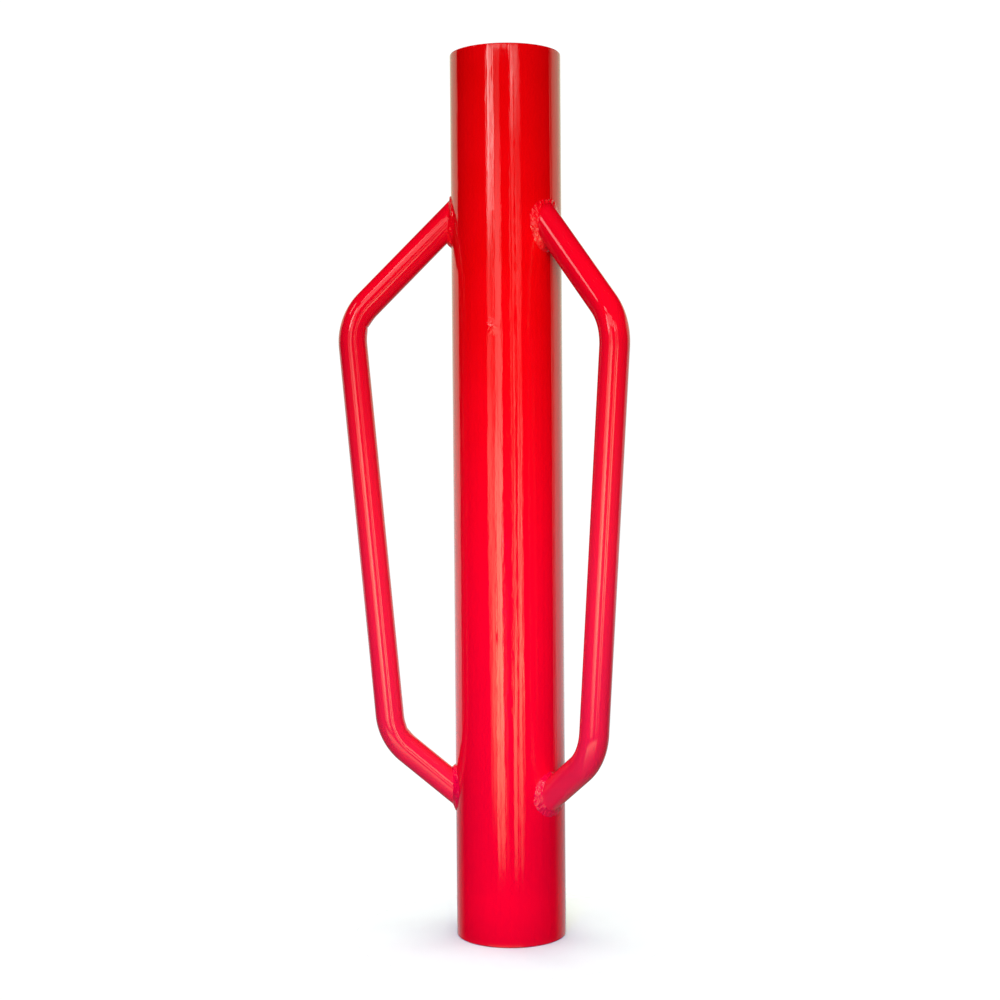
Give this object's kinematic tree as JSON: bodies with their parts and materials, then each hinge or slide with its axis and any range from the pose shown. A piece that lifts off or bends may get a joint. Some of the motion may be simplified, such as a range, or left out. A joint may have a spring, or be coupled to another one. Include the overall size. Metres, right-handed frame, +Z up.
{
  "type": "post driver",
  "caption": "Manual fence post driver: heavy red steel tube closed at the top, open below, with a bent tube handle welded to each side.",
  "frame": {"origin": "centre of the open end's rim plane, on the body tube's axis", "axes": "+Z runs up the tube's axis from the open end to the closed striking end; both handles lean round towards -Y, the left handle on -X and the right handle on +X"},
  "size_m": [0.2092, 0.0969, 0.6096],
  "materials": {
    "red_enamel": "gloss enamel over steel, slight orange peel",
    "bare_steel": "mill-finished steel, hammered bright where posts strike it"
  },
  "bodies": {
    "root": {"body_tube": "red_enamel", "striking_plug": "bare_steel", "striking_plug_weld": "red_enamel", "left_handle": "red_enamel", "right_handle": "red_enamel", "left_upper_weld": "red_enamel", "left_lower_weld": "red_enamel", "right_upper_weld": "red_enamel", "right_lower_weld": "red_enamel"}
  },
  "joints": []
}
